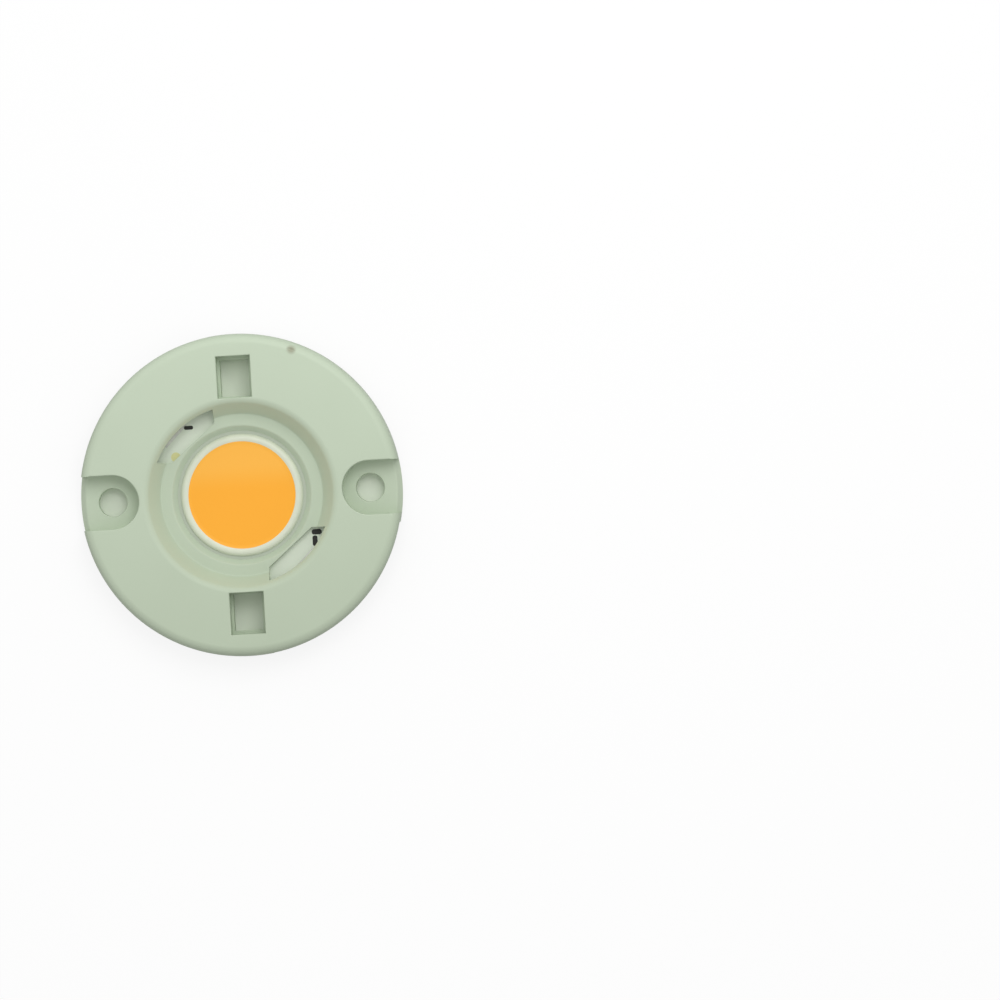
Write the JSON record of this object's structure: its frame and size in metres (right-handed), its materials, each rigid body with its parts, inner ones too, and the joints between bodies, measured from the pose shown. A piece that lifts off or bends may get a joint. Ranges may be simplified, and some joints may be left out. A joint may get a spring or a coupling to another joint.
{
  "type": "cob led module",
  "caption": "Flat round moulded light module: a square ceramic board with a yellow phosphor field, a cone-shaped light opening, open screw pockets and snap windows for an optic",
  "frame": {"origin": "centre of the mounting face, on the light axis", "axes": "+X through both screw holes, +Y through both snap windows, +Z the way the light goes"},
  "size_m": [0.05, 0.05, 0.0055],
  "materials": {
    "moulded_plastic": "satin off-white moulded plastic",
    "white_ceramic": "matte white ceramic",
    "silver_conductor": "matte printed silver",
    "white_overcoat": "white printed overcoat",
    "gilt_pad": "thin gilt pad",
    "white_silicone": "white silicone bead",
    "phosphor_silicone": "orange-yellow phosphor in clear silicone",
    "led_die": "polished crystal",
    "gold_wire": "bright drawn wire"
  },
  "bodies": {
    "root": {"holder": "moulded_plastic", "ceramic_board": "white_ceramic", "anode_track": "silver_conductor", "cathode_track": "silver_conductor", "glass_overcoat": "white_overcoat", "tc_point": "gilt_pad", "dam_ring": "white_silicone", "phosphor_fill": "phosphor_silicone", "die_string_01": "led_die", "die_string_02": "led_die", "die_string_03": "led_die", "die_string_04": "led_die", "die_string_05": "led_die", "die_string_06": "led_die", "die_string_07": "led_die", "bond_wires_01": "gold_wire", "bond_wires_02": "gold_wire", "bond_wires_03": "gold_wire", "bond_wires_04": "gold_wire", "bond_wires_05": "gold_wire", "bond_wires_06": "gold_wire", "bond_wires_07": "gold_wire"}
  },
  "joints": []
}
